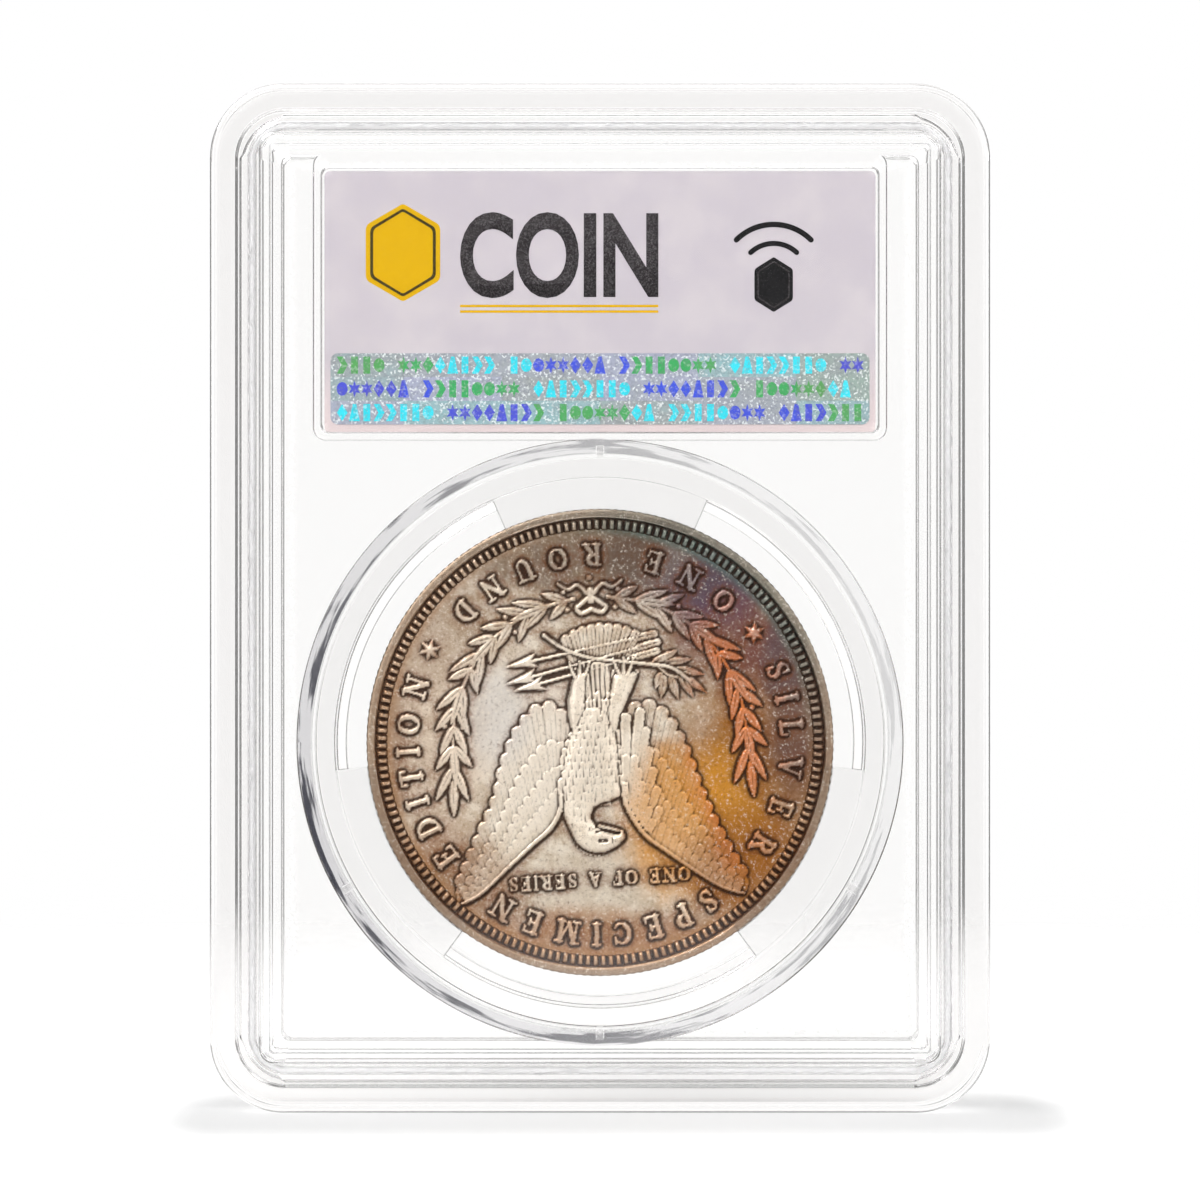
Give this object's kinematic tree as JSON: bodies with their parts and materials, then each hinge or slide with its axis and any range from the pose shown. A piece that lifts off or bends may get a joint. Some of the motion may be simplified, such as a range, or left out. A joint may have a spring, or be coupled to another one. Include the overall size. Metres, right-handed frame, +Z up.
{
  "type": "graded coin slab",
  "caption": "Sealed clear plastic slab that displays one toned silver coin, gripped by a pronged ring, under a printed label with a hologram strip.",
  "frame": {"origin": "centre of the bottom edge of the slab, on the surface it stands on", "axes": "+Z up towards the label, X across the width, -Y out of the back, which shows the coin's reverse"},
  "size_m": [0.0632, 0.008, 0.0835],
  "materials": {
    "clear_shell": "clear polished polystyrene",
    "clear_ring": "clear polished polystyrene",
    "toned_silver": "struck silver with brown and orange toning",
    "label_card": "matt printed card",
    "hologram_foil": "glittering diffraction foil",
    "tag_film": "thin clear film",
    "antenna_metal": "etched foil",
    "chip_black": "matt black die"
  },
  "bodies": {
    "root": {"back_shell": "clear_shell", "front_shell": "clear_shell", "coin_ring": "clear_ring", "coin": "toned_silver", "back_label": "label_card", "front_label": "label_card", "hologram_strip": "hologram_foil", "tag_film": "tag_film", "tag_antenna": "antenna_metal", "tag_chip": "chip_black"}
  },
  "joints": []
}
